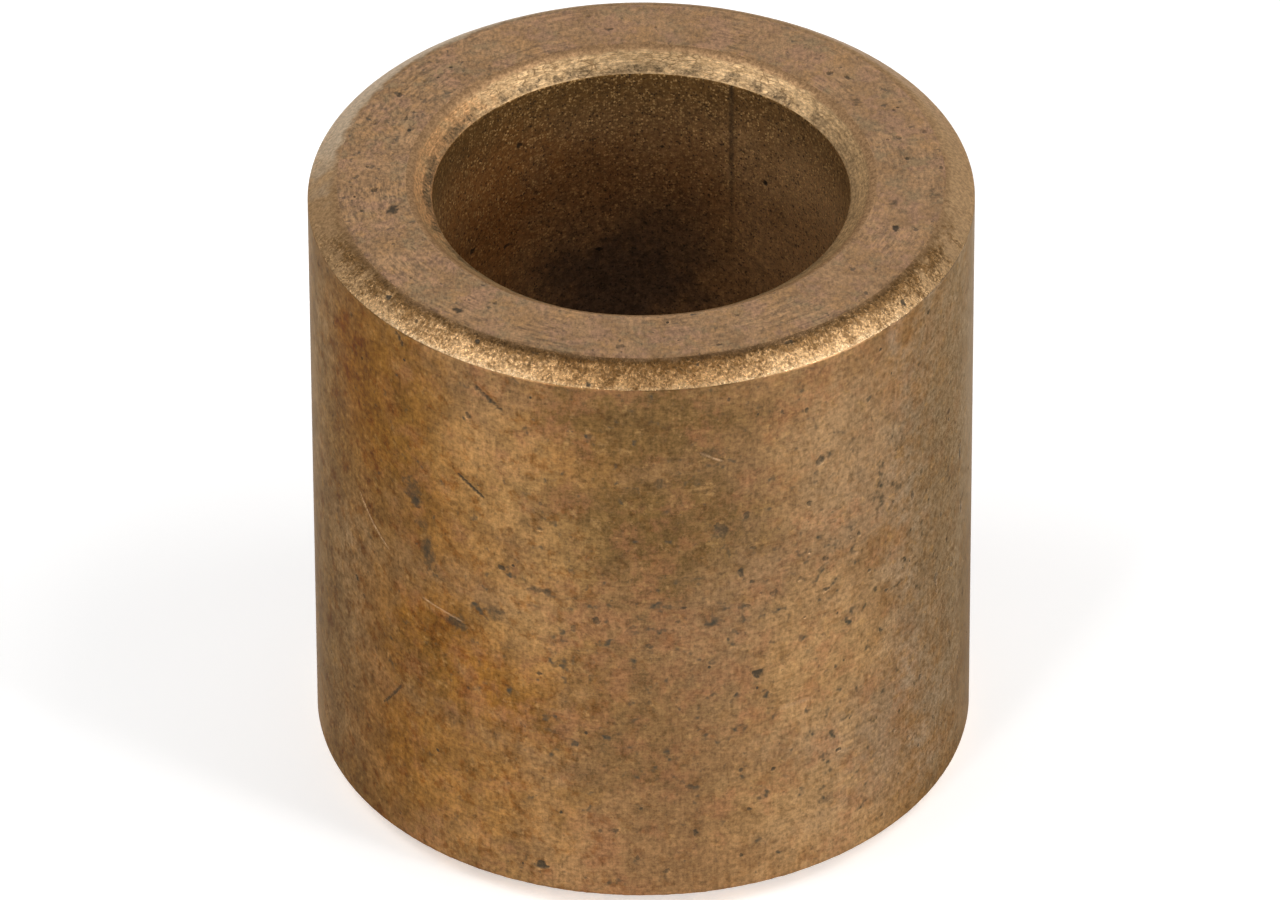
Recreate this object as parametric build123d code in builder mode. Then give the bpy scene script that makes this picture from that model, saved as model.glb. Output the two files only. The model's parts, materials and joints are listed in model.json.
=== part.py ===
from build123d import *

import os

os.makedirs("parts", exist_ok=True)

# A plain cylindrical bearing bush, pressed from bronze powder in a die and sized between punches.
# The bore axis is Z, the bush stands on its end, and the origin is the centre of the lower end face.

# Working sizes, in millimetres
bore_diameter = 10.0
wall_thickness = 3.0
bush_length = 16.0

# The punches form the same shallow chamfers at both ends.
# A width is measured across the end face, and a depth along the axis.
outer_chamfer_width = 0.60
outer_chamfer_depth = 0.45
bore_chamfer_width = 0.58
bore_chamfer_depth = 0.45

# An end face rolls over softly into its chamfers, and a chamfer meets the walls at a much crisper edge.
face_edge_radius = 0.30
wall_edge_radius = 0.08

bore_radius = bore_diameter / 2
outer_radius = bore_radius + wall_thickness

# The section of the wall is drawn in the X-Z plane, from the bore outwards, and turned about the bore axis.
with BuildPart() as bushing:
    with BuildSketch(Plane.XZ) as wall_section:
        with BuildLine():
            Polyline(
                (bore_radius, bore_chamfer_depth),
                (bore_radius + bore_chamfer_width, 0),
                (outer_radius - outer_chamfer_width, 0),
                (outer_radius, outer_chamfer_depth),
                (outer_radius, bush_length - outer_chamfer_depth),
                (outer_radius - outer_chamfer_width, bush_length),
                (bore_radius + bore_chamfer_width, bush_length),
                (bore_radius, bush_length - bore_chamfer_depth),
                close=True,
            )
        make_face()
        corners_by_height = wall_section.vertices().group_by(Axis.Y)
        fillet(corners_by_height[0] + corners_by_height[-1], radius=face_edge_radius)
        corners_by_reach = wall_section.vertices().group_by(Axis.X)
        fillet(corners_by_reach[0] + corners_by_reach[-1], radius=wall_edge_radius)
    revolve(axis=Axis.Z)

bushing.part.label = "bushing"
export_step(bushing.part, "parts/bushing.step")
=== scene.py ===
import json
import math
import random

import bmesh
import bpy
from mathutils import Matrix, Vector, kdtree, noise


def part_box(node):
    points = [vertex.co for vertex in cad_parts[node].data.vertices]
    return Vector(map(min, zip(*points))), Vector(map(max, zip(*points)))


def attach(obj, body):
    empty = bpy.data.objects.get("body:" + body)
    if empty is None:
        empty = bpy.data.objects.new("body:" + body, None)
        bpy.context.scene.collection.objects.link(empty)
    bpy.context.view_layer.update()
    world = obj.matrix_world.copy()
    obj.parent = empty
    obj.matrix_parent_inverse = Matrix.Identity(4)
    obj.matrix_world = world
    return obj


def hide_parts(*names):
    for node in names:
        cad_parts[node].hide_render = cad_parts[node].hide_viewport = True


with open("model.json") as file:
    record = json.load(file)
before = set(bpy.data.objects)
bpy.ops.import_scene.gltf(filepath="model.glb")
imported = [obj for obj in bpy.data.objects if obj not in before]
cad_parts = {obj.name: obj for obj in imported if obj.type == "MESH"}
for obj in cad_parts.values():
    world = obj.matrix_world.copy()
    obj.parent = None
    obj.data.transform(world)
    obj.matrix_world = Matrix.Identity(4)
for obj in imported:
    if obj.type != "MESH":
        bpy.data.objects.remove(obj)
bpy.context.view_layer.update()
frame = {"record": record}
print("frame loaded")

mm = 0.001

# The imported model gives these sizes, in millimetres. The bush stands on its end, with its bore along Z.
boxLow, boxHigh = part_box("bushing")
boreMount = next(mount for mount in frame["record"]["mounts"] if mount["name"] == "bore")
outerRadius = min(boxHigh.x, boxHigh.y, -boxLow.x, -boxLow.y) / mm
boreRadius = boreMount["dims"]["r_mm"]
bushLength = (boxHigh.z - boxLow.z) / mm

# Sizes in millimetres
bush = {
    "outerChamfer": (0.60, 0.45),  # across the end face and down the wall
    "boreChamfer": (0.58, 0.45),
    "outerRollOver": 0.22,  # softness of an end face's outer edge
    "boreRollOver": 0.10,
    "wallEdge": 0.03,  # softness of the edge between a chamfer and a wall
    "columns": 540,  # faces round the bush
    "wallRow": 1.0,  # heights of the rows of faces
    "faceRow": 0.3,
    "chamferRow": 0.08,
    "edgeRow": 0.04,  # a narrow row beside each edge keeps the flat stretches' shading flat
}


def drawSection(mesh):
    # half the wall's section on each side of the middle, from the bore outwards and back
    outerIn, outerDown = bush["outerChamfer"]
    boreIn, boreDown = bush["boreChamfer"]
    lowerHalf = [
        (boreRadius, boreDown),
        (boreRadius + boreIn, 0),
        (outerRadius - outerIn, 0),
        (outerRadius, outerDown),
    ]
    upperHalf = [(reach, bushLength - height) for reach, height in reversed(lowerHalf)]
    corners = [mesh.verts.new((reach * mm, 0, height * mm)) for reach, height in lowerHalf + upperHalf]
    for corner, following in zip(corners, corners[1:] + corners[:1]):
        mesh.edges.new((corner, following))
    rounded = [
        ((corners[2], corners[5]), bush["outerRollOver"], 7),
        ((corners[1], corners[6]), bush["boreRollOver"], 4),
        ((corners[0], corners[3], corners[4], corners[7]), bush["wallEdge"], 2),
    ]
    for chosen, reach, steps in rounded:
        bmesh.ops.bevel(mesh, geom=list(chosen), offset=reach * mm, offset_type="OFFSET", segments=steps,
                        profile=0.5, affect="VERTICES", material=-1)


def rowHeight(edge):
    run = edge.verts[1].co - edge.verts[0].co
    if abs(run.z) < 0.01 * abs(run.x):
        return bush["faceRow"]
    if abs(run.x) < 0.01 * abs(run.z):
        return bush["wallRow"]
    return bush["chamferRow"]


def divideSection(mesh):
    for edge in list(mesh.edges):
        height = rowHeight(edge)
        rows = round(edge.calc_length() / mm / height)
        if rows < 2:
            continue
        if height > bush["chamferRow"]:
            for end in list(edge.verts):
                bmesh.utils.edge_split(edge, end, bush["edgeRow"] * mm / edge.calc_length())
        bmesh.ops.subdivide_edges(mesh, edges=[edge], cuts=rows - 1)


def spinSection(mesh):
    # one wedge is spun, then copied round, which is much quicker than a full spin
    wedges = 12
    bmesh.ops.spin(mesh, geom=mesh.verts[:] + mesh.edges[:], axis=(0, 0, 1), cent=(0, 0, 0), dvec=(0, 0, 0),
                   angle=math.tau / wedges, steps=bush["columns"] // wedges)
    wedge = mesh.verts[:] + mesh.edges[:] + mesh.faces[:]
    for step in range(1, wedges):
        copied = bmesh.ops.duplicate(mesh, geom=wedge)["geom"]
        turn = Matrix.Rotation(step * math.tau / wedges, 3, "Z")
        bmesh.ops.rotate(mesh, verts=[v for v in copied if isinstance(v, bmesh.types.BMVert)],
                         cent=(0, 0, 0), matrix=turn)
    bmesh.ops.remove_doubles(mesh, verts=mesh.verts[:], dist=0.001 * mm)
    bmesh.ops.recalc_face_normals(mesh, faces=mesh.faces[:])


# The four finishes, in the order of the material slots
finishes = ["sizedWall", "pressedFace", "coinedChamfer", "oiledBore"]


def chooseFinishes(mesh):
    for face in mesh.faces:
        face.smooth = True
        face.normal_update()
        centre = face.calc_center_median()
        upright = abs(face.normal.z)
        if upright > 0.97:
            finish = "pressedFace"
        elif upright > 0.3:
            finish = "coinedChamfer"
        elif math.hypot(centre.x, centre.y) > (boreRadius + outerRadius) / 2 * mm:
            finish = "sizedWall"
        else:
            finish = "oiledBore"
        face.material_index = finishes.index(finish)


# Turns are in degrees from the front of the bush towards its right side, and sizes in millimetres.
# A pit is (turn, height on the wall or radius on the face, width, height, soot).
marks = {
    "wallPits": [
        (20, 6.8, 0.36, 0.28, 1.0), (32, 12.6, 0.42, 0.32, 0.8), (3, 12.8, 0.34, 0.40, 0.6),
        (13, 11.4, 0.34, 0.24, 0.7), (29, 14.2, 0.14, 0.26, 0.7), (33, 9.6, 0.22, 0.30, 0.7),
        (39, 9.5, 0.34, 0.42, 0.6), (18, 11.6, 0.18, 0.28, 0.7), (17, 9.9, 0.26, 0.28, 0.8),
        (19, 9.6, 0.20, 0.16, 0.8), (-25, 9.8, 0.28, 0.20, 0.8), (-18, 1.1, 0.44, 0.30, 0.9),
        (-5, 2.4, 0.30, 0.22, 0.7), (-8, 8.7, 0.26, 0.34, 0.7), (-12, 8.4, 0.20, 0.26, 0.6),
        (1, 6.3, 0.22, 0.20, 0.5), (-18, 6.9, 0.15, 0.15, 0.7), (9, 2.3, 0.20, 0.24, 0.8),
        (4, 1.2, 0.22, 0.20, 0.7), (-1, 1.6, 0.18, 0.16, 0.7), (23, 3.8, 0.16, 0.16, 0.8),
        (17, 4.0, 0.16, 0.20, 0.7), (36, 3.7, 0.20, 0.16, 0.8), (8, 3.7, 0.28, 0.20, 0.6),
        (17, 1.4, 0.16, 0.14, 0.8), (54, 10.0, 0.18, 0.40, 0.7), (62, 6.8, 0.20, 0.50, 0.6),
        (73, 9.6, 0.16, 0.70, 0.8), (74, 7.8, 0.14, 0.50, 0.7), (-31, 14.0, 0.20, 0.26, 0.7),
        (6, 13.1, 0.24, 0.16, 0.6), (23, 9.1, 0.32, 0.30, 0.6), (28, 9.3, 0.20, 0.20, 0.5),
        (33, 8.7, 0.26, 0.18, 0.7), (18, 8.9, 0.26, 0.14, 0.7), (7, 9.1, 0.26, 0.14, 0.7),
        (6, 8.7, 0.16, 0.14, 0.7), (1, 8.0, 0.28, 0.16, 0.7), (-18, 11.2, 0.26, 0.16, 0.6),
    ],
    "facePits": [
        (-121, 6.8, 0.30, 0.16, 0.8), (-114, 6.2, 0.20, 0.14, 0.8), (-110, 6.8, 0.16, 0.14, 0.8),
        (-173, 6.3, 0.24, 0.14, 0.8), (-86, 6.4, 0.22, 0.24, 0.7), (-79, 6.8, 0.16, 0.14, 0.8),
        (-128, 6.6, 0.16, 0.12, 0.6), (71, 6.4, 0.34, 0.20, 0.9), (130, 6.5, 0.26, 0.14, 0.8),
        (93, 7.2, 0.20, 0.14, 0.7), (105, 6.4, 0.26, 0.16, 0.6), (15, 7.0, 0.18, 0.12, 0.7),
    ],
    # on the bore's wall, by height
    "borePits": [
        (143, 13.0, 0.22, 0.20, 1.0), (-144, 14.1, 0.20, 0.22, 1.0), (-168, 10.4, 0.30, 0.16, 0.8),
        (-139, 11.3, 0.24, 0.16, 0.9), (-125, 11.8, 0.30, 0.18, 0.9), (139, 14.9, 0.12, 0.10, 0.8),
        (174, 13.4, 0.14, 0.12, 0.8), (-160, 12.8, 0.12, 0.12, 0.8), (179, 11.1, 0.14, 0.12, 0.8),
        (-150, 12.5, 0.36, 0.16, 0.6), (161, 12.1, 0.12, 0.12, 0.7),
    ],
    # on the upper outer chamfer, by share of the way down it
    "chamferPits": [
        (-52.4, 0.30, 0.18, 0.20, 1.0), (-31, 0.22, 0.14, 0.16, 0.9), (-9.2, 0.88, 0.16, 0.14, 0.9),
        (10, 0.24, 0.10, 0.12, 0.8), (52.8, 0.64, 0.16, 0.26, 1.0), (-44, 0.45, 0.12, 0.12, 0.7),
        (28, 0.10, 0.30, 0.10, 0.7), (-20, 0.08, 0.24, 0.08, 0.6),
    ],
    # a stain has no depth
    "wallStains": [
        (-43, 11.0, 0.80, 1.20, 0.65), (-42.5, 10.8, 0.40, 0.56, 0.95), (-41, 10.2, 0.60, 0.70, 0.55),
        (-39.8, 9.4, 0.64, 1.60, 0.65), (-40, 9.6, 0.44, 0.90, 0.85), (-34, 7.7, 1.00, 0.50, 0.75),
        (-26, 8.4, 0.64, 0.60, 0.65), (-18, 9.4, 1.00, 0.32, 0.70), (13.5, 11.2, 0.64, 0.60, 0.70),
        (12, 13.6, 1.00, 0.40, 0.50), (38, 10.3, 0.40, 0.36, 0.55), (40, 11.8, 0.56, 0.50, 0.45),
    ],
    "faceStains": [
        (-78, 6.05, 0.50, 0.44, 0.9), (80, 6.15, 0.50, 0.50, 0.7), (121, 6.05, 0.60, 0.40, 0.6),
        (-39, 6.9, 0.36, 0.26, 1.0), (-4, 6.85, 0.46, 0.24, 0.7), (84, 7.0, 0.80, 0.50, 0.5),
    ],
    # A scratch is (turn, height, turn, height, width, bend, soot, shine).
    "scratches": [
        (-33.5, 12.2, -27.8, 11.7, 0.12, 0.0, 1.0, 0.0), (-30.2, 15.0, -24.0, 14.4, 0.16, 0.0, 0.9, 0.0),
        (-58.0, 9.9, -49.0, 8.8, 0.08, 0.10, 0.0, 0.8), (-41.5, 8.0, -32.4, 7.8, 0.06, 0.0, 0.2, 0.8),
        (9.8, 13.65, 14.0, 13.3, 0.07, 0.02, 0.1, 0.70), (24.0, 5.6, 30.5, 5.6, 0.10, 0.0, 0.0, 0.6),
        (-46.9, 15.5, -44.7, 15.1, 0.14, 0.0, 1.0, 0.0), (-52.0, 4.0, -46.5, 5.0, 0.12, 0.03, 0.8, 0.0),
    ],
    "scattered": 150,  # smaller pits on the whole bush
    "scatteredSize": (0.07, 0.16),
    "pitDepth": 0.13,  # as a share of the pit's width
    "cell": 0.20,  # size of the finest faces, as a share of a mark's width
    "lineCell": 0.5,
    "seed": 11,
}


def onWall(turn, height, radius=None):
    turn = math.radians(turn)
    outwards = Vector((math.sin(turn), -math.cos(turn), 0))
    across = Vector((math.cos(turn), math.sin(turn), 0))
    place = outwards * (radius or outerRadius) * mm + Vector((0, 0, height * mm))
    return {"centre": place, "across": across, "along": Vector((0, 0, 1))}


def onFace(turn, radius, height=None):
    turn = math.radians(turn)
    outwards = Vector((math.sin(turn), -math.cos(turn), 0))
    across = Vector((math.cos(turn), math.sin(turn), 0))
    place = outwards * radius * mm + Vector((0, 0, (bushLength if height is None else height) * mm))
    return {"centre": place, "across": across, "along": outwards}


def onChamfer(turn, share):
    across, down = bush["outerChamfer"]
    place = onFace(turn, outerRadius - across * (1 - share), bushLength - down * share)
    outwards = place["along"]
    place["along"] = (outwards * across - Vector((0, 0, down))).normalized()
    return place


def shapeMark(place, width, height, depth, soot, shine=0.0, bend=0.0, line=False):
    cell = width * marks["lineCell"] if line else min(width, height) * marks["cell"]
    place.update(halfWidth=width / 2 * mm, halfHeight=height / 2 * mm, depth=depth * mm, soot=soot,
                 shine=shine, bend=bend * mm, line=line, cell=cell * mm)
    return place


def listMarks():
    chance = random.Random(marks["seed"])
    listed = []
    for turn, height, width, tall, soot in marks["wallPits"]:
        listed.append(shapeMark(onWall(turn, height), width, tall, min(width, tall) * marks["pitDepth"], soot))
    for turn, radius, width, tall, soot in marks["facePits"]:
        listed.append(shapeMark(onFace(turn, radius), width, tall, min(width, tall) * marks["pitDepth"], soot))
    for turn, height, width, tall, soot in marks["borePits"]:
        deep = min(width, tall) * marks["pitDepth"]
        listed.append(shapeMark(onWall(turn, height, boreRadius), width, tall, deep, soot))
    for turn, share, width, tall, soot in marks["chamferPits"]:
        deep = min(width, tall) * marks["pitDepth"]
        listed.append(shapeMark(onChamfer(turn, share), width, tall, deep, soot))
    for turn, height, width, tall, soot in marks["wallStains"]:
        listed.append(shapeMark(onWall(turn, height), width, tall, 0, soot))
    for turn, radius, width, tall, soot in marks["faceStains"]:
        listed.append(shapeMark(onFace(turn, radius), width, tall, 0, soot))
    for turn, height, endTurn, endHeight, width, bend, soot, shine in marks["scratches"]:
        start, end = onWall(turn, height), onWall(endTurn, endHeight)
        run = end["centre"] - start["centre"]
        place = onWall((turn + endTurn) / 2, (height + endHeight) / 2)
        outwards = place["across"].cross(place["along"])
        place["along"] = run.normalized()
        place["across"] = place["along"].cross(outwards).normalized()
        listed.append(shapeMark(place, width, run.length / mm, width * 0.3, soot, shine, bend, line=True))
    for _ in range(marks["scattered"]):
        # more of them are on the right side than on the left
        turn = chance.choice((chance.uniform(-180, 180), chance.gauss(35, 40)))
        width = chance.uniform(*marks["scatteredSize"]) * chance.uniform(0.8, 1.2)
        tall = width * chance.uniform(0.7, 1.4)
        where = chance.random()
        if where < 0.68:
            place = onWall(turn, chance.uniform(0.7, bushLength - 0.7))
        elif where < 0.84:
            place = onFace(chance.uniform(-180, 180), chance.uniform(boreRadius + 0.8, outerRadius - 0.8))
        else:
            place = onFace(chance.uniform(-180, 180), chance.uniform(boreRadius + 0.8, outerRadius - 0.8), 0)
        listed.append(shapeMark(place, width, tall, width * marks["pitDepth"], chance.uniform(0.5, 0.9)))
    return listed


def vertsNear(tree, verts, mark, room=0.0):
    reach = math.hypot(mark["halfWidth"], mark["halfHeight"]) * 1.3 + abs(mark["bend"]) + room
    for _, index, _ in tree.find_range(mark["centre"], reach):
        yield verts[index]


def plantTree(verts):
    tree = kdtree.KDTree(len(verts))
    for index, vert in enumerate(verts):
        tree.insert(vert.co, index)
    tree.balance()
    return tree


def refineMarks(mesh, listed):
    # edges near a mark are cut until they are short enough to carry its shape
    for _ in range(7):
        verts = mesh.verts[:]
        tree = plantTree(verts)
        tooLong = set()
        for mark in listed:
            around = vertsNear(tree, verts, mark, bush["wallRow"] * mm)
            for edge in {edge for vert in around for edge in vert.link_edges} - tooLong:
                length = edge.calc_length()
                if length < mark["cell"] * 1.5:
                    continue
                offset = (edge.verts[0].co + edge.verts[1].co) / 2 - mark["centre"]
                acrossRoom = mark["halfWidth"] * 1.2 + abs(mark["bend"]) + length / 2
                alongRoom = mark["halfHeight"] * 1.2 + length / 2
                if abs(offset.dot(mark["across"])) < acrossRoom and abs(offset.dot(mark["along"])) < alongRoom:
                    tooLong.add(edge)
        if not tooLong:
            break
        bmesh.ops.subdivide_edges(mesh, edges=list(tooLong), cuts=1, use_grid_fill=True)


def markShape(mark, place):
    # 1 at the middle of a mark and 0 outside it, with a ragged rim
    offset = place - mark["centre"]
    along = offset.dot(mark["along"]) / mark["halfHeight"]
    across = (offset.dot(mark["across"]) - mark["bend"] * (1 - along * along)) / mark["halfWidth"]
    if mark["line"]:
        return max(0.0, 1 - abs(across)) * max(0.0, 1 - along ** 6)
    ragged = noise.noise(offset / (0.10 * mm) + mark["centre"] / mm) * 0.45
    distance = math.hypot(across, along) + ragged
    share = min(1.0, max(0.0, (1.0 - distance) / 0.6))
    return share * share * (3 - 2 * share)


def unevenness(place, finish):
    # how far the pressed and sized surface lies under its true form, in millimetres
    spot = place / mm
    reach = math.hypot(spot.x, spot.y)
    # the outer edge is roughest at the front, and the bore's edge at the back
    facing = -spot.y / reach if reach > (boreRadius + outerRadius) / 2 else spot.y / reach
    rough = min(1.0, max(0.25, (facing - 0.15) / 0.4))
    if finish == "coinedChamfer":
        coarse = noise.noise(spot / 0.22)
        fine = noise.noise(spot / 0.09 + Vector((7, 3, 5)))
        return (0.010 + 0.011 * coarse + 0.009 * fine) * rough
    if finish == "sizedWall":
        return 0.002 + 0.003 * noise.noise(Vector((spot.x / 1.3, spot.y / 1.3, spot.z / 4)))
    rim = max(0.0, 1 - abs(reach - outerRadius + bush["outerChamfer"][0]) / 0.3) * rough
    return 0.002 + 0.003 * noise.noise(spot / 1.1) + rim * (0.005 + 0.014 * noise.noise(spot / 0.20))


def wearSurface(mesh, listed):
    soot = mesh.verts.layers.float.new("soot")
    shine = mesh.verts.layers.float.new("shine")
    mesh.normal_update()
    mesh.verts.index_update()
    verts = mesh.verts[:]
    down = []
    for vert in verts:
        kinds = {finishes[face.material_index] for face in vert.link_faces}
        down.append(sum(max(0.0, unevenness(vert.co, kind)) for kind in kinds) / len(kinds))
    tree = plantTree(verts)
    for mark in listed:
        for vert in vertsNear(tree, verts, mark):
            share = markShape(mark, vert.co)
            down[vert.index] = max(down[vert.index], share * mark["depth"] / mm)
            spread = min(1.0, share * 1.9) if mark["depth"] else share
            vert[soot] = max(vert[soot], spread * mark["soot"])
            vert[shine] = max(vert[shine], share * mark["shine"])
    normals = [vert.normal.copy() for vert in verts]
    for vert, normal, distance in zip(verts, normals, down):
        vert.co -= normal * distance * mm


def makeBush():
    mesh = bmesh.new()
    drawSection(mesh)
    divideSection(mesh)
    spinSection(mesh)
    chooseFinishes(mesh)
    print("section spun:", len(mesh.faces), "faces")
    listed = listMarks()
    refineMarks(mesh, listed)
    wearSurface(mesh, listed)
    print("marks cut:", sum(len(face.verts) - 2 for face in mesh.faces), "triangles")
    data = bpy.data.meshes.new("plainBush")
    mesh.to_mesh(data)
    mesh.free()
    piece = bpy.data.objects.new("plainBush", data)
    bpy.context.scene.collection.objects.link(piece)
    return piece


def addNode(tree, kind, inputs=None, **settings):
    made = tree.nodes.new("ShaderNode" + kind)
    for name, value in settings.items():
        setattr(made, name, value)
    for name, value in (inputs or {}).items():
        if isinstance(value, bpy.types.NodeSocket):
            tree.links.new(value, made.inputs[name])
        else:
            made.inputs[name].default_value = value
    return made


def calculate(tree, operation, *values):
    return addNode(tree, "Math", dict(enumerate(values)), operation=operation).outputs[0]


def mixColours(tree, share, under, over, mode="MIX"):
    under = under if isinstance(under, bpy.types.NodeSocket) else (*under, 1)
    over = over if isinstance(over, bpy.types.NodeSocket) else (*over, 1)
    return addNode(tree, "Mix", {0: share, 6: under, 7: over}, data_type="RGBA", blend_type=mode).outputs[2]


def rise(tree, value, low, high, start=0.0, end=1.0):
    # goes smoothly from start to end as the value goes from low to high
    inputs = {0: value, 1: low, 2: high, 3: start, 4: end}
    return addNode(tree, "MapRange", inputs, interpolation_type="SMOOTHSTEP").outputs[0]


def stretched(tree, place, scale, shift=(0, 0, 0)):
    return addNode(tree, "Mapping", {"Vector": place, "Scale": scale, "Location": shift}).outputs[0]


def grain(tree, place, size, detail=2.0, roughness=0.5):
    # noise whose features are about this size in millimetres
    inputs = {"Vector": place, "Scale": 1 / size, "Detail": detail, "Roughness": roughness}
    return addNode(tree, "TexNoise", inputs).outputs[0]


def specks(tree, place, size, least, rim=0.07):
    # ragged specks, where a fine noise rises above a limit
    return rise(tree, calculate(tree, "SUBTRACT", grain(tree, place, size, 2.4, 0.62), least), 0.0, rim)


def startFinish(name):
    material = bpy.data.materials.new(name)
    material.use_nodes = True
    tree = material.node_tree
    tree.nodes.clear()
    place = addNode(tree, "TexCoord").outputs["Object"]
    place = addNode(tree, "VectorMath", {0: place, "Scale": 1 / mm}, operation="SCALE").outputs[0]
    split = addNode(tree, "SeparateXYZ", {0: place})
    flat = addNode(tree, "CombineXYZ", {0: split.outputs[0], 1: split.outputs[1]}).outputs[0]
    radius = addNode(tree, "VectorMath", {0: flat}, operation="LENGTH").outputs[1]
    fromMiddle = calculate(tree, "ABSOLUTE", calculate(tree, "SUBTRACT", split.outputs[2], bushLength / 2))
    depth = calculate(tree, "SUBTRACT", bushLength / 2, fromMiddle)
    turn = calculate(tree, "ARCTAN2", split.outputs[0], calculate(tree, "MULTIPLY", split.outputs[1], -1))
    where = {"place": place, "z": split.outputs[2], "flat": flat, "radius": radius, "depth": depth,
             "turn": calculate(tree, "DEGREES", turn)}
    return material, tree, where


def turnFrom(tree, where, turn):
    # how many degrees a place lies from this turn, either way round
    return calculate(tree, "ABSOLUTE", calculate(
        tree, "WRAP", calculate(tree, "SUBTRACT", where["turn"], turn), 180.0, -180.0))


def patches(tree, where, listed, reach):
    # the strongest of some soft patches, each (turn, height, width, height, strength)
    ragged = calculate(tree, "SUBTRACT", grain(tree, where["place"], 1.1, 6.0, 0.72), 0.5)
    strongest = 0.0
    for turn, height, width, tall, strength in listed:
        across = calculate(tree, "WRAP", calculate(tree, "SUBTRACT", where["turn"], turn), 180.0, -180.0)
        across = calculate(tree, "MULTIPLY", across, math.radians(reach) * 2 / width)
        along = calculate(tree, "MULTIPLY", calculate(tree, "SUBTRACT", where["z"], height), 2 / tall)
        flat = addNode(tree, "CombineXYZ", {0: across, 1: along}).outputs[0]
        distance = addNode(tree, "VectorMath", {0: flat}, operation="LENGTH").outputs[1]
        distance = calculate(tree, "MULTIPLY_ADD", ragged, 2.4, distance)
        strongest = calculate(tree, "MAXIMUM", strongest, rise(tree, distance, 1.35, 0.25, 0.0, strength))
    return strongest


def rollOverWearAndShade(tree, where, reach, colour, tint):
    # a thin ragged band darkens the metal where the face rolls over into a chamfer, strongest at the front: partly
    # wear, partly painted shade
    ragged = calculate(tree, "SUBTRACT", grain(tree, where["place"], 0.16, 5.0, 0.75), 0.5)
    offset = calculate(tree, "ABSOLUTE", calculate(tree, "SUBTRACT", where["radius"], reach))
    band = rise(tree, calculate(tree, "MULTIPLY_ADD", ragged, 0.55, offset), 0.20, 0.0)
    band = calculate(tree, "MULTIPLY", band, rise(tree, grain(tree, where["place"], 1.3, 3.0), 0.38, 0.60, 0.40, 1.0))
    away = calculate(tree, "ABSOLUTE", where["turn"])
    band = calculate(tree, "MULTIPLY", band, rise(tree, away, 80.0, 50.0, 0.25, 0.78))
    return mixColours(tree, band, colour, mixColours(tree, 1.0, colour, tint, "MULTIPLY"))


def endFinish(tree, place, colour, roughness, height, settings):
    # soot lies in the marks, and bare metal shows in the scratches
    soot = addNode(tree, "Attribute", attribute_name="soot").outputs["Fac"]
    shine = addNode(tree, "Attribute", attribute_name="shine").outputs["Fac"]
    ragged = calculate(tree, "SUBTRACT", grain(tree, place, 0.11, 4.0, 0.7), 0.5)
    soot = rise(tree, calculate(tree, "MULTIPLY_ADD", ragged, 1.0, soot), 0.16, 1.05)
    shine = calculate(tree, "MULTIPLY", shine, rise(tree, ragged, -0.12, 0.10, 0.25, 0.8))
    colour = mixColours(tree, calculate(tree, "MULTIPLY", soot, 0.88), colour, settings["sootColour"])
    colour = mixColours(tree, shine, colour, settings["bareColour"])
    roughness = calculate(tree, "MULTIPLY_ADD", soot, 0.4, roughness)
    bump = addNode(tree, "Bump", {"Height": height, "Distance": mm, "Strength": 1.0}).outputs[0]
    shader = addNode(tree, "BsdfPrincipled", {
        "Base Color": colour,
        "Metallic": settings["metallic"],
        "Roughness": roughness,
        "Specular Tint": (*settings["grazing"], 1),
        "Coat Weight": settings["oilFilm"],
        "Coat Roughness": 0.35,
        "Normal": bump,
    })
    output = addNode(tree, "OutputMaterial")
    tree.links.new(shader.outputs[0], output.inputs[0])


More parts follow.
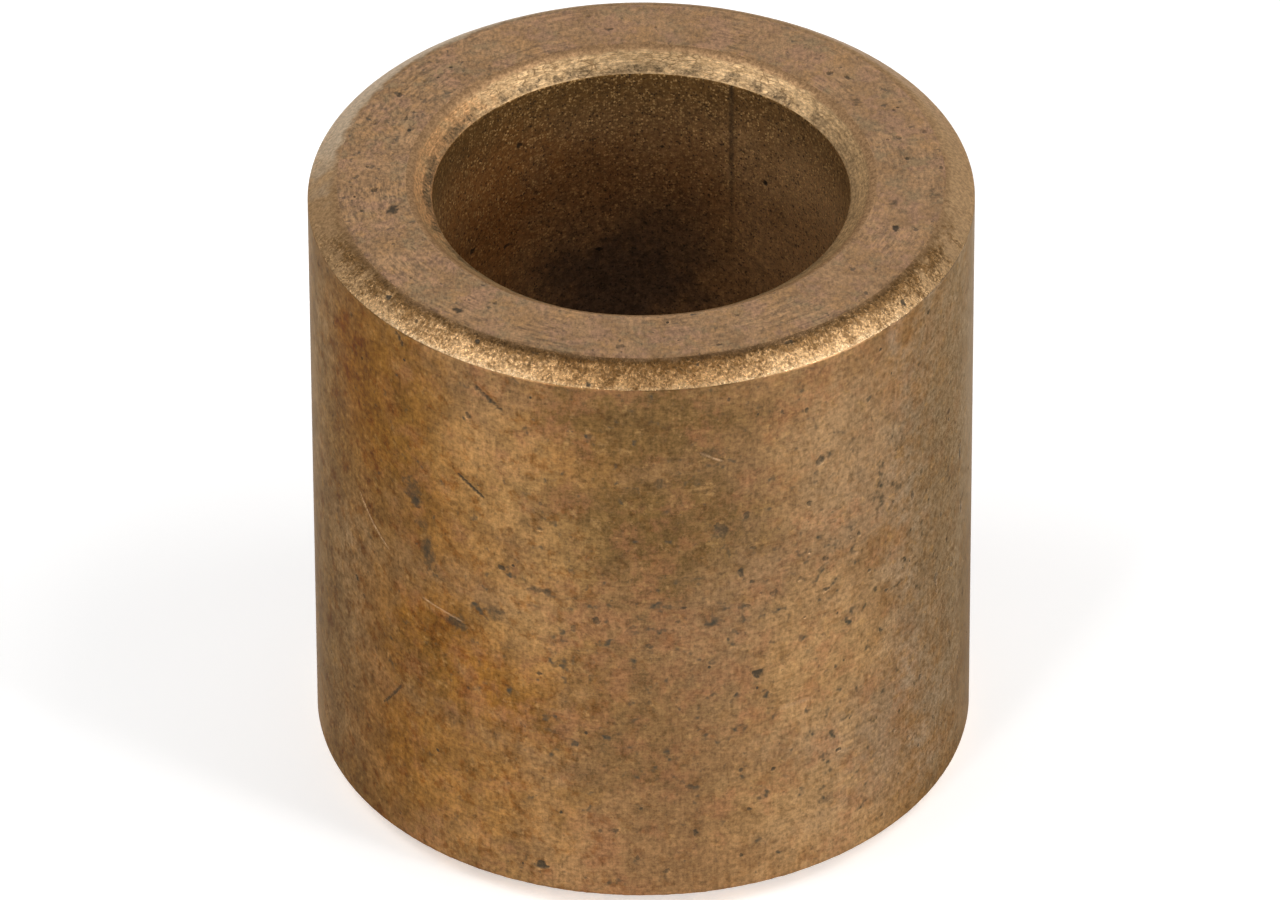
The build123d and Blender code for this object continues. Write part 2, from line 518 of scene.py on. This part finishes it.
# Colours are linear red, green and blue.
wallFinish = {
    "metal": (0.224, 0.122, 0.051),
    "ochre": (0.226, 0.099, 0.019),
    "olive": (0.132, 0.073, 0.022),
    "rust": (0.262, 0.116, 0.052),
    "pale": (0.350, 0.200, 0.077),
    "grey": (0.284, 0.214, 0.148),
    "smudge": (0.68, 0.54, 0.38),  # multiplies the colour below it
    "sootColour": (0.056, 0.046, 0.030),
    "bareColour": (0.80, 0.52, 0.30),
    "metallic": 0.95,
    "grazing": (0.44, 0.33, 0.21),  # keeps the sides from going pale too soon
    "oilFilm": 0.10,
    # patches: turn, height, width, height and strength
    "ochrePatches": [
        (-49, 13.0, 4.8, 7.0, 1.0), (-37, 11.5, 4.6, 5.0, 0.85), (-32, 6.5, 6.5, 4.4, 1.0),
        (-36, 3.0, 6.5, 4.4, 0.9), (-31, 10.5, 3.6, 4.0, 0.60), (-14, 13.5, 4.0, 4.0, 0.5), (-16, 10.5, 3.0, 3.4, 0.35), (150, 5.0, 7.0, 5.0, 0.6), (-150, 12.0, 8.0, 4.0, 0.6),
    ],
    # the olive patches at the middle (turn 0), on the left (turn -40 to -70) and on the right (turn 62 and 86) are
    # partly the metal's own tone and partly painted shade between and beside the wall's two brighter bands
    "olivePatches": [
        (0, 11.4, 6.4, 4.4, 0.9), (1, 14.6, 6.0, 3.4, 0.8), (-56, 1.0, 6.0, 1.6, 0.5), (-26, 0.7, 3.0, 1.0, 0.4),
        (-70, 5.0, 3.4, 9.0, 0.3), (-50, 12.5, 3.2, 8.0, 0.45), (-46, 13.0, 1.6, 3.0, 0.5), (70, 0.6, 8.0, 1.4, 0.4), (-4, 5.5, 4.0, 5.0, 0.4),
        (62, 10.0, 3.4, 12.0, 0.35), (-40, 6.0, 3.0, 2.4, 0.3), (-64, 10.5, 3.0, 4.0, 0.5), (86, 4.0, 4.0, 9.0, 0.5),
    ],
    # the pale patches along the wall's two brighter bands (turn about -20 and 32) and along its foot are partly the
    # metal's own tone and partly painted highlight and painted light
    "palePatches": [
        (-27, 12.4, 3.6, 5.6, 0.45), (-20, 8.3, 2.8, 3.4, 0.5), (32, 6.6, 4.4, 6.0, 0.6),
        (27, 2.8, 4.8, 3.0, 0.6), (34, 12.5, 3.8, 5.0, 0.3), (110, 9.0, 7.0, 6.0, 0.4), (-18, 2.5, 3.0, 4.0, 0.3),
        (34, 1.0, 5.0, 3.2, 0.5), (-17, 10.6, 3.0, 3.0, 0.35), (-31, 2.4, 3.6, 4.4, 0.30),
    ],
    # the two tall grey patches at both sides (turn 78 and -80) are a painted pale sheen; the others are the metal's
    # own grey tint
    "greyPatches": [
        (78, 9.0, 9.0, 26.0, 1.0), (40, 3.0, 5.6, 8.0, 0.45), (40, 12.0, 4.6, 7.0, 0.35), (-80, 8.0, 7.0, 26.0, 0.65),
        (36, 7.5, 3.6, 4.0, 0.3), (-160, 7.0, 8.0, 9.0, 0.3), (20, 9.5, 5.0, 9.0, 0.12),
    ],
}


def makeSizedWall():
    material, tree, where = startFinish("sizedWall")
    place = where["place"]
    colour = wallFinish["metal"]
    # some of these patches are partly painted highlight, shade and sheen, as noted where they are listed
    for tint in ("grey", "ochre", "olive", "pale"):
        share = patches(tree, where, wallFinish[tint + "Patches"], outerRadius)
        colour = mixColours(tree, share, colour, wallFinish[tint])
    # the mottling is strongest on the left of the front
    uneven = rise(tree, turnFrom(tree, where, -60.0), 75.0, 35.0, 0.45, 1.0)
    mottle = rise(tree, grain(tree, place, 0.9, 5.0, 0.7), 0.36, 0.64, -0.22, 0.20)
    # painted light: the lowest 3 mm of the wall are made up to 13% lighter, against the floor's shade reflected there
    mottle = calculate(tree, "MULTIPLY_ADD", mottle, uneven, rise(tree, where["z"], 0.3, 3.0, 1.13, 1.0))
    colour = mixColours(tree, 1.0, colour, mottle, "MULTIPLY")
    blush = grain(tree, stretched(tree, place, (1, 1, 1), (9, 2, 4)), 1.1, 5.0, 0.72)
    blush = calculate(tree, "MULTIPLY", rise(tree, blush, 0.48, 0.66, 0.0, 0.5),
                      rise(tree, turnFrom(tree, where, 80.0), 18.0, 45.0, 0.35, 1.0))
    blush = calculate(tree, "MULTIPLY", blush, rise(tree, turnFrom(tree, where, -72.0), 12.0, 34.0, 0.2, 1.0))
    colour = mixColours(tree, blush, colour, wallFinish["rust"])
    # smudges and pale flecks, drawn out a little along a slope
    slope = addNode(tree, "Mapping", {"Vector": place, "Rotation": (0, math.radians(40), 0), "Scale": (1.2, 1, 1)},
                    vector_type="TEXTURE").outputs[0]
    smudge = rise(tree, grain(tree, slope, 0.38, 5.0, 0.68), 0.50, 0.66, 0.0, 0.85)
    smudge = mixColours(tree, calculate(tree, "MULTIPLY", smudge, uneven), (1, 1, 1), wallFinish["smudge"])
    colour = mixColours(tree, 1.0, colour, smudge, "MULTIPLY")
    fleck = grain(tree, stretched(tree, slope, (1, 1, 1), (3, 8, 6)), 0.30, 5.0, 0.70)
    colour = mixColours(tree, rise(tree, fleck, 0.54, 0.70, 0.0, 0.5), colour, wallFinish["pale"])
    # fine grain, brushed a little both ways
    fine = grain(tree, place, 0.12, 5.0, 0.75)
    upright = grain(tree, stretched(tree, place, (1, 1, 0.10)), 0.06, 1.0)
    level = grain(tree, stretched(tree, place, (0.10, 0.10, 1)), 0.06, 1.0)
    texture = calculate(tree, "ADD", calculate(tree, "MULTIPLY", fine, 0.76),
                        calculate(tree, "MULTIPLY", calculate(tree, "ADD", upright, level), 0.12))
    colour = mixColours(tree, 1.0, colour, rise(tree, texture, 0.25, 0.75, 0.42, 1.58), "MULTIPLY")
    # specks of soot, thickest right of the middle, among fainter and smaller ones
    crowd = patches(tree, where, [(20, 7.5, 18.0, 17.0, 0.060)], outerRadius)
    dark = specks(tree, place, 0.36, calculate(tree, "SUBTRACT", 0.635, crowd), 0.17)
    faint = specks(tree, stretched(tree, place, (1, 1, 1), (5, 7, 2)), 0.17, 0.62, 0.17)
    dark = calculate(tree, "MAXIMUM", dark, calculate(tree, "MULTIPLY", faint, 0.65))
    dark = calculate(tree, "MULTIPLY", dark, rise(tree, fine, 0.35, 0.60, 0.70, 1.05))
    colour = mixColours(tree, dark, colour, wallFinish["sootColour"])
    height = calculate(tree, "SUBTRACT", calculate(tree, "MULTIPLY", texture, 0.0035),
                       calculate(tree, "MULTIPLY", dark, 0.004))
    roughness = rise(tree, texture, 0.30, 0.70, 0.36, 0.48)
    endFinish(tree, place, colour, roughness, height, wallFinish)
    return material


faceFinish = {
    "metal": (0.490, 0.290, 0.143),
    "dull": (0.370, 0.211, 0.097),
    "ochre": (0.480, 0.272, 0.116),
    "grey": (0.352, 0.236, 0.121),
    "rose": (0.450, 0.256, 0.144),
    # the roll-over band's tint: partly wear, partly painted shade
    "rollOverWearAndShade": (0.50, 0.46, 0.40),
    "sootColour": (0.064, 0.055, 0.040),
    "bareColour": (0.80, 0.52, 0.30),
    "metallic": 0.85,
    "grazing": (1.0, 1.0, 1.0),
    "oilFilm": 0.08,
}


def makePressedFace():
    material, tree, where = startFinish("pressedFace")
    place = where["place"]
    colour = mixColours(tree, rise(tree, grain(tree, place, 1.0, 5.0, 0.7), 0.38, 0.62),
                        faceFinish["dull"], faceFinish["metal"])
    for shift, tint in enumerate(("grey", "ochre", "rose"), 1):
        share = grain(tree, stretched(tree, place, (1, 1, 1), (7 * shift, 3, 5)), 0.8, 6.0, 0.75)
        colour = mixColours(tree, rise(tree, share, 0.49, 0.62, 0.0, 0.8), colour, faceFinish[tint])
    # faint arcs from the punch, showing only here and there
    heading = addNode(tree, "VectorMath", {0: where["flat"]}, operation="NORMALIZE").outputs[0]
    heading = addNode(tree, "VectorMath", {0: heading, "Scale": 0.9}, operation="SCALE").outputs[0]
    reach = addNode(tree, "CombineXYZ", {2: where["radius"]}).outputs[0]
    arcs = calculate(tree, "SUBTRACT", grain(tree, addNode(tree, "VectorMath", {0: heading, 1: reach}).outputs[0],
                                             0.09, 3.0, 0.7), 0.5)
    arcs = calculate(tree, "MULTIPLY", arcs, rise(tree, grain(tree, place, 1.6, 3.0), 0.45, 0.62))
    fine = grain(tree, stretched(tree, place, (1, 0.6, 1)), 0.10, 5.0, 0.75)
    texture = calculate(tree, "MULTIPLY_ADD", arcs, 0.8, fine)
    # the left side is the coarsest
    left = rise(tree, turnFrom(tree, where, -98.0), 70.0, 35.0, 1.0, 1.3)
    spread = calculate(tree, "MULTIPLY_ADD", calculate(tree, "SUBTRACT", texture, 0.5), left, 0.5)
    colour = mixColours(tree, 1.0, colour, rise(tree, spread, 0.26, 0.74, 0.55, 1.45), "MULTIPLY")
    # the roll-over's band, partly wear and partly painted shade
    colour = rollOverWearAndShade(tree, where, outerRadius - bush["outerChamfer"][0] - 0.03, colour, faceFinish["rollOverWearAndShade"])
    crowd = patches(tree, where, [(-108, bushLength, 9.0, 4.0, 0.05)], 6.5)
    dark = specks(tree, place, 0.32, calculate(tree, "SUBTRACT", 0.655, crowd))
    faint = specks(tree, stretched(tree, place, (1, 1, 1), (5, 7, 2)), 0.17, 0.62, 0.12)
    dark = calculate(tree, "MAXIMUM", dark, calculate(tree, "MULTIPLY", faint, 0.7))
    colour = mixColours(tree, calculate(tree, "MULTIPLY", dark, 0.6), colour, faceFinish["sootColour"])
    height = calculate(tree, "SUBTRACT", calculate(tree, "MULTIPLY", texture, 0.005),
                       calculate(tree, "MULTIPLY", dark, 0.006))
    # the same coarse grain as on the chamfer begins at its rim
    rim = outerRadius - bush["outerChamfer"][0]
    coarse = calculate(tree, "MULTIPLY", grain(tree, place, 0.09, 4.0, 0.7), 0.024)
    front = rise(tree, calculate(tree, "ABSOLUTE", where["turn"]), 80.0, 60.0)
    front = calculate(tree, "MULTIPLY", front, rise(tree, where["radius"], rim - 0.32, rim - 0.08))
    height = calculate(tree, "MULTIPLY_ADD", coarse, front, height)
    endFinish(tree, place, colour, rise(tree, texture, 0.30, 0.70, 0.46, 0.60), height, faceFinish)
    return material


chamferFinish = {
    "bright": (0.650, 0.403, 0.195),
    "brown": (0.225, 0.120, 0.044),
    "face": (0.420, 0.250, 0.124),
    "side": (0.520, 0.328, 0.168),
    "frontShadeTint": (0.94, 0.87, 0.77),  # painted shade: the middle of the front, between the two highlights, is darker and warmer
    # a painted pale sheen, a reflection, behind the chamfer's left side
    "paintedSheen": (0.680, 0.540, 0.385),
    "paintedSheenTurn": (-128, 38),  # the middle and half the width of a painted pale sheen on the outer chamfer
    # a painted highlight along the outer chamfer's lower edge
    "edge": (0.800, 0.560, 0.320),
    # the roll-over band's tint: partly wear, partly painted shade
    "rollOverWearAndShade": (0.50, 0.46, 0.40),
    "metallic": 1.0,
    "inner": (0.500, 0.322, 0.158),
    "creamAndHighlight": (0.690, 0.465, 0.245),
    "amber": (0.600, 0.330, 0.145),
    "crack": (0.200, 0.110, 0.045),
    "grime": (0.130, 0.086, 0.046),
    "sootColour": (0.060, 0.052, 0.038),
    "bareColour": (0.90, 0.68, 0.42),
    "grazing": (0.55, 0.50, 0.45),
    "oilFilm": 0.08,
}


def ringPlace(tree, where, reach, stretch):
    # this place runs round a chamfer and down it, so that a pattern can be drawn out along the chamfer
    heading = addNode(tree, "VectorMath", {0: where["flat"]}, operation="NORMALIZE").outputs[0]
    heading = addNode(tree, "VectorMath", {0: heading, "Scale": reach}, operation="SCALE").outputs[0]
    down = addNode(tree, "CombineXYZ", {2: calculate(tree, "MULTIPLY", where["depth"], stretch)}).outputs[0]
    return addNode(tree, "VectorMath", {0: heading, 1: down}).outputs[0]


def boreChamfer(tree, where, coarse, wander):
    place = where["place"]
    along = ringPlace(tree, where, boreRadius, 3.6)
    # the far side is painted pale cream, partly as a painted highlight, and crazed, and the near side stays smooth
    far = calculate(tree, "MULTIPLY_ADD", wander, 40.0, turnFrom(tree, where, 174.0))
    far = rise(tree, far, 75.0, 40.0)
    pale = grain(tree, along, 0.42, 5.0, 0.72)
    pale = calculate(tree, "MULTIPLY", rise(tree, pale, 0.36, 0.62), far)
    colour = mixColours(tree, pale, chamferFinish["inner"], chamferFinish["creamAndHighlight"])
    amber = calculate(tree, "MULTIPLY_ADD", wander, 60.0, turnFrom(tree, where, -98.0))
    amber = calculate(tree, "MULTIPLY", rise(tree, amber, 42.0, 22.0),
                      rise(tree, grain(tree, along, 0.7, 4.0, 0.7), 0.36, 0.56, 0.1, 0.9))
    colour = mixColours(tree, amber, colour, chamferFinish["amber"])
    crazing = addNode(tree, "TexVoronoi", {"Vector": along, "Scale": 1 / 0.27, "Detail": 1.0, "Roughness": 0.6},
                      feature="DISTANCE_TO_EDGE").outputs["Distance"]
    crazing = calculate(tree, "MULTIPLY_ADD", wander, 0.10, crazing)
    crazing = calculate(tree, "MULTIPLY", rise(tree, crazing, 0.08, 0.01),
                        rise(tree, grain(tree, place, 0.6, 3.0), 0.42, 0.60, 0.05, 0.70))
    colour = mixColours(tree, calculate(tree, "MULTIPLY", crazing, far), colour, chamferFinish["crack"])
    # turning lines, and grains between pores
    lines = rise(tree, grain(tree, addNode(tree, "CombineXYZ", {0: where["depth"]}).outputs[0], 0.045, 2.0, 0.7),
                 0.35, 0.65, 0.86, 1.14)
    colour = mixColours(tree, 1.0, colour, lines, "MULTIPLY")
    fine = grain(tree, along, 0.12, 4.0, 0.75)
    colour = mixColours(tree, 1.0, colour, rise(tree, fine, 0.30, 0.70, 0.56, 1.40), "MULTIPLY")
    # grime lies in stretches above the lower edge
    low = calculate(tree, "MULTIPLY_ADD", wander, 0.40, where["depth"])
    grime = calculate(tree, "MULTIPLY", rise(tree, low, 0.26, 0.36), rise(tree, where["depth"], 0.45, 0.41))
    grime = calculate(tree, "MULTIPLY", grime, rise(tree, grain(tree, place, 0.9, 5.0, 0.75), 0.42, 0.52, 0.10, 1.0))
    grime = calculate(tree, "MULTIPLY", grime, rise(tree, coarse, 0.36, 0.60, 1.0, 0.4))
    grime = calculate(tree, "MULTIPLY", grime, rise(tree, turnFrom(tree, where, 90.0), 22.0, 50.0, 0.4, 1.0))
    return mixColours(tree, grime, colour, chamferFinish["grime"])


def makeCoinedChamfer():
    material, tree, where = startFinish("coinedChamfer")
    place = where["place"]
    outside = rise(tree, where["radius"], (boreRadius + outerRadius) / 2 - 0.1, (boreRadius + outerRadius) / 2)
    coarse = grain(tree, place, 0.09, 4.0, 0.7)
    # the outer chamfer's metal is brightest along the wall's edge and darkens towards the end face
    wander = calculate(tree, "SUBTRACT", grain(tree, place, 0.45, 4.0, 0.6), 0.5)
    depth = calculate(tree, "MULTIPLY_ADD", wander, 0.30, where["depth"])
    chamferBrightening = calculate(tree, "MULTIPLY_ADD", depth, 0.70, calculate(tree, "SUBTRACT", coarse, 0.14))
    chamferBrightening = calculate(tree, "MULTIPLY_ADD", wander, 0.45, chamferBrightening)
    colour = mixColours(tree, rise(tree, chamferBrightening, 0.36, 0.74), chamferFinish["brown"], chamferFinish["bright"])
    # bright grains stand between darker pores, drawn out a little along the edge, and fine cracks part them
    along = ringPlace(tree, where, outerRadius, 1.7)
    sparkle = rise(tree, grain(tree, along, 0.065, 3.0, 0.6), 0.36, 0.62, 0.62, 1.34)
    colour = mixColours(tree, 1.0, colour, sparkle, "MULTIPLY")
    bent = calculate(tree, "SUBTRACT", grain(tree, place, 0.20, 3.0, 0.6), 0.5)
    cracks = addNode(tree, "TexVoronoi", {"Vector": along, "Scale": 1 / 0.42, "Detail": 1.0, "Roughness": 0.6},
                     feature="DISTANCE_TO_EDGE").outputs["Distance"]
    cracks = rise(tree, calculate(tree, "MULTIPLY_ADD", bent, 0.35, cracks), 0.07, 0.0)
    cracks = calculate(tree, "MULTIPLY", cracks, rise(tree, grain(tree, place, 0.8, 3.0), 0.42, 0.60, 0.0, 0.65))
    colour = mixColours(tree, cracks, colour, chamferFinish["brown"])
    # a painted highlight lies along its lower edge at the front, in broken stretches
    away = calculate(tree, "ABSOLUTE", where["turn"])
    edge = rise(tree, calculate(tree, "MULTIPLY_ADD", wander, 0.30, where["depth"]), 0.37, 0.43, 0.0, 0.65)
    edge = calculate(tree, "MULTIPLY", edge, rise(tree, coarse, 0.42, 0.58, 0.15, 1.2))
    edge = calculate(tree, "MULTIPLY", edge, rise(tree, calculate(tree, "MULTIPLY_ADD", wander, 30.0, away), 60.0, 48.0))
    colour = mixColours(tree, edge, colour, chamferFinish["edge"])
    # away from the front it is as dull as the face, a split that is partly painted light, and behind its left side
    # lies a painted pale sheen
    dull = rise(tree, calculate(tree, "MULTIPLY_ADD", wander, 70.0, away), 58.0, 80.0)
    # painted shade darkens and warms the middle of the front
    shadedMiddle = mixColours(tree, 1.0, colour, chamferFinish["frontShadeTint"], "MULTIPLY")
    colour = mixColours(tree, rise(tree, away, 26.0, 8.0), colour, shadedMiddle)
    middle, half = chamferFinish["paintedSheenTurn"]
    # the painted pale sheen behind the left side
    paintedSheen = calculate(tree, "MULTIPLY_ADD", wander, 50.0, turnFrom(tree, where, middle))
    paintedSheen = rise(tree, paintedSheen, half * 1.2, half * 0.6, 0.0, 0.85)
    side = mixColours(tree, paintedSheen, chamferFinish["side"], chamferFinish["paintedSheen"])
    # painted shade darkens the side around turn -72
    shaded = calculate(tree, "MULTIPLY_ADD", wander, 50.0, turnFrom(tree, where, -72.0))
    side = mixColours(tree, rise(tree, shaded, 32.0, 16.0, 0.0, 0.35), side, chamferFinish["brown"])
    side = mixColours(tree, 1.0, side, rise(tree, coarse, 0.28, 0.72, 0.72, 1.28), "MULTIPLY")
    colour = mixColours(tree, dull, colour, side)
    inner = boreChamfer(tree, where, coarse, wander)
    colour = mixColours(tree, outside, inner, colour)
    # both chamfers start as the face's own metal
    face = mixColours(tree, 1.0, chamferFinish["face"], rise(tree, coarse, 0.30, 0.70, 0.66, 1.34), "MULTIPLY")
    start = calculate(tree, "MULTIPLY_ADD", outside, -0.07, 0.12)
    start = calculate(tree, "SUBTRACT", calculate(tree, "MULTIPLY_ADD", wander, 0.16, where["depth"]), start)
    colour = mixColours(tree, rise(tree, start, 0.02, -0.05), colour, face)
    # the roll-over's band, partly wear and partly painted shade
    colour = rollOverWearAndShade(tree, where, outerRadius - bush["outerChamfer"][0] - 0.03, colour, chamferFinish["rollOverWearAndShade"])
    smooth = calculate(tree, "MAXIMUM", dull, calculate(tree, "SUBTRACT", 1.0, outside))
    height = calculate(tree, "MULTIPLY", coarse, calculate(tree, "MULTIPLY_ADD", smooth, -0.014, 0.022))
    roughness = calculate(tree, "MULTIPLY_ADD", smooth, 0.10, rise(tree, coarse, 0.35, 0.65, 0.36, 0.25))
    roughness = calculate(tree, "MULTIPLY_ADD", calculate(tree, "SUBTRACT", 1.0, outside), 0.12, roughness)
    endFinish(tree, place, colour, roughness, height, chamferFinish)
    return material


boreFinish = {
    "metal": (0.322, 0.176, 0.071),
    "grit": (0.930, 0.590, 0.240),
    "leadIn": (0.145, 0.073, 0.020),
    "oil": (0.105, 0.063, 0.038),
    "bareAndLit": (0.580, 0.350, 0.160),
    "brown": (0.345, 0.148, 0.039),
    "sootColour": (0.020, 0.016, 0.012),
    "bareColour": (0.80, 0.52, 0.30),
    "metallic": 0.75,
    "grazing": (0.8, 0.7, 0.6),
    "oilFilm": 0.02,
    # patches, as on the wall
    "oilPatches": [
        (190, 9.2, 5.0, 4.4, 0.9), (174, 10.6, 3.0, 3.0, 0.6), (150, 6.0, 6.0, 5.0, 0.6), (0, 8.0, 8.0, 9.0, 0.4),
    ],
    # a lighter patch on the bore's right side, partly bare metal and partly painted light
    "bareAndLitPatches": [(124, 12.5, 5.5, 8.0, 0.7)],
    "brownPatches": [(228, 13.0, 5.0, 7.0, 0.85), (165, 12.5, 2.4, 3.0, 0.3), (196, 12.6, 3.0, 3.0, 0.4)],
    "streak": (154, 11.0, 0.13),  # turn, lower end and width of a dark line
}


def makeOiledBore():
    material, tree, where = startFinish("oiledBore")
    place = where["place"]
    colour = boreFinish["metal"]
    # the lighter patch on the right side is partly painted light
    for tint in ("brown", "bareAndLit", "oil"):
        share = patches(tree, where, boreFinish[tint + "Patches"], boreRadius)
        colour = mixColours(tree, share, colour, boreFinish[tint])
    # the bore is darkest under its chamfer
    wander = calculate(tree, "MULTIPLY_ADD", grain(tree, place, 0.5, 3.0), 0.6, where["depth"])
    lead = calculate(tree, "MULTIPLY", rise(tree, wander, 3.0, 0.8),
                     rise(tree, turnFrom(tree, where, 115.0), 20.0, 60.0, 0.82, 0.97))
    colour = mixColours(tree, lead, colour, boreFinish["leadIn"])
    # its pressed grains, a few of them bright, with dark pores between them
    fine = grain(tree, place, 0.16, 5.0, 0.8)
    colour = mixColours(tree, 1.0, colour, rise(tree, fine, 0.30, 0.70, 0.58, 1.42), "MULTIPLY")
    bent = addNode(tree, "TexNoise", {"Vector": place, "Scale": 1 / 0.06, "Detail": 1.0}).outputs["Color"]
    bent = addNode(tree, "VectorMath", {0: bent, 1: (0.07, 0.07, 0.07), 2: place}, operation="MULTIPLY_ADD").outputs[0]
    grains = addNode(tree, "TexVoronoi", {"Vector": bent, "Scale": 1 / 0.060}).outputs
    chance = addNode(tree, "SeparateColor", {"Color": grains["Color"]}).outputs[0]
    grit = calculate(tree, "MULTIPLY", rise(tree, chance, 0.36, 0.98), rise(tree, grains["Distance"], 0.70, 0.25))
    grit = calculate(tree, "MULTIPLY", grit, rise(tree, grain(tree, place, 0.4, 5.0, 0.75), 0.40, 0.60, 0.35, 1.0))
    grit = calculate(tree, "MULTIPLY", grit, rise(tree, share, 0.0, 0.8, 0.82, 0.15))
    grit = calculate(tree, "MULTIPLY", grit, rise(tree, lead, 0.2, 1.0, 1.0, 0.66))
    grit = calculate(tree, "MULTIPLY", grit, rise(tree, where["z"], 9.0, 13.0, 0.6, 1.0))
    colour = mixColours(tree, grit, colour, boreFinish["grit"])
    pores = calculate(tree, "MULTIPLY", rise(tree, chance, 0.22, 0.06), rise(tree, grains["Distance"], 0.60, 0.35, 0.0, 0.75))
    colour = mixColours(tree, pores, colour, boreFinish["sootColour"])
    turn, lowest, width = boreFinish["streak"]
    offset = calculate(tree, "ABSOLUTE", calculate(tree, "SUBTRACT", where["turn"], turn))
    streak = calculate(tree, "MULTIPLY", rise(tree, offset, math.degrees(width / boreRadius / 2) * 1.6, 0.2),
                       rise(tree, where["z"], lowest, lowest + 2.5, 0.0, 0.55))
    colour = mixColours(tree, streak, colour, boreFinish["sootColour"])
    height = calculate(tree, "MULTIPLY", fine, 0.022)
    endFinish(tree, place, colour, rise(tree, fine, 0.35, 0.65, 0.70, 0.50), height, boreFinish)
    return material


piece = makeBush()
for makeFinish in (makeSizedWall, makePressedFace, makeCoinedChamfer, makeOiledBore):
    piece.data.materials.append(makeFinish())
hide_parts("bushing")
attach(piece, "root")
print("bush dressed")

studio = {
    "floorColour": (0.93, 0.93, 0.93),
    "floorRadius": 1.2,  # metres
    "floorGlow": (0.36, 0.85),  # near the bush and far from it
    "farFloor": (0.20, 0.50),  # metres
    "surround": 0.20,  # how bright the pale room is, where 1 is white
    # direction seen from the bush in degrees from the front, height above the floor in degrees,
    # distance, width and height in metres, and power in watts
    "softboxes": {
        "back": (180, 28, 0.40, 1.00, 0.30, 0.60),
        "leftHigh": (-77, 57, 0.35, 0.20, 0.20, 0.36),
        "rightHigh": (80, 54, 0.35, 0.20, 0.20, 0.37),
        "leftLow": (-30, 10, 0.35, 0.06, 0.14, 0.65),
        "rightLow": (58, 10, 0.35, 0.06, 0.14, 0.75),
    },
}


def makeFloor():
    mesh = bmesh.new()
    bmesh.ops.create_circle(mesh, cap_ends=True, segments=96, radius=studio["floorRadius"])
    bmesh.ops.translate(mesh, verts=mesh.verts[:], vec=(0, 0, boxLow.z))
    data = bpy.data.meshes.new("floor")
    mesh.to_mesh(data)
    mesh.free()
    floor = bpy.data.objects.new("floor", data)
    bpy.context.scene.collection.objects.link(floor)
    material = bpy.data.materials.new("paleFloor")
    material.use_nodes = True
    shader = material.node_tree.nodes["Principled BSDF"]
    shader.inputs["Base Color"].default_value = (*studio["floorColour"], 1)
    shader.inputs["Roughness"].default_value = 0.9
    shader.inputs["Specular IOR Level"].default_value = 0.1
    # the camera and the metal see a white floor, which still takes the bush's shadow
    tree = material.node_tree
    ray = addNode(tree, "LightPath").outputs
    seen = calculate(tree, "ADD", ray["Is Camera Ray"], ray["Is Glossy Ray"])
    seen = calculate(tree, "ADD", seen, ray["Is Transmission Ray"])
    # the lamps light only the near floor, so the far floor glows more
    away = addNode(tree, "VectorMath", {0: addNode(tree, "TexCoord").outputs["Object"]}, operation="LENGTH").outputs[1]
    strength = rise(tree, away, *studio["farFloor"], *studio["floorGlow"])
    glow = addNode(tree, "Emission", {"Strength": calculate(tree, "MULTIPLY", seen, strength)})
    both = addNode(tree, "AddShader", {0: shader.outputs[0], 1: glow.outputs[0]})
    tree.links.new(both.outputs[0], tree.nodes["Material Output"].inputs[0])
    data.materials.append(material)


def lightStudio():
    world = bpy.data.worlds.new("paleRoom")
    world.use_nodes = True
    background = world.node_tree.nodes["Background"]
    background.inputs[0].default_value = (1, 1, 1, 1)
    background.inputs[1].default_value = studio["surround"]
    bpy.context.scene.world = world
    middle = (boxLow + boxHigh) / 2
    for name, (turn, up, distance, width, height, power) in studio["softboxes"].items():
        turn, up = math.radians(turn), math.radians(up)
        towards = Vector((math.sin(turn) * math.cos(up), -math.cos(turn) * math.cos(up), math.sin(up)))
        light = bpy.data.lights.new(name, "AREA")
        light.shape = "RECTANGLE"
        light.size = width
        light.size_y = height
        light.energy = power
        lamp = bpy.data.objects.new(name, light)
        lamp.location = middle + towards * distance
        lamp.rotation_euler = towards.to_track_quat("Z", "Y").to_euler()
        lamp.visible_camera = False
        bpy.context.scene.collection.objects.link(lamp)


camera = {
    "downwards": 36.47,  # degrees below the horizon
    "roll": -0.23,
    "distance": 362.72,  # millimetres from the middle of the bush
    "sideways": -0.057,
    "upwards": -0.073,
    "lens": 420.7,
}


def placeCamera():
    tilt = math.radians(90 - camera["downwards"])
    turn = Matrix.Rotation(tilt, 3, "X") @ Matrix.Rotation(math.radians(camera["roll"]), 3, "Z")
    data = bpy.data.cameras.new("photoCamera")
    data.lens = camera["lens"]
    data.sensor_width = 36
    data.clip_start = 0.01
    seen = bpy.data.objects.new("photoCamera", data)
    offset = Vector((camera["sideways"], camera["upwards"], camera["distance"])) * mm
    seen.location = (boxLow + boxHigh) / 2 + turn @ offset
    seen.rotation_euler = turn.to_euler()
    bpy.context.scene.collection.objects.link(seen)
    bpy.context.scene.camera = seen


makeFloor()
lightStudio()
placeCamera()
bpy.context.scene.view_settings.view_transform = "Standard"
print("studio set")
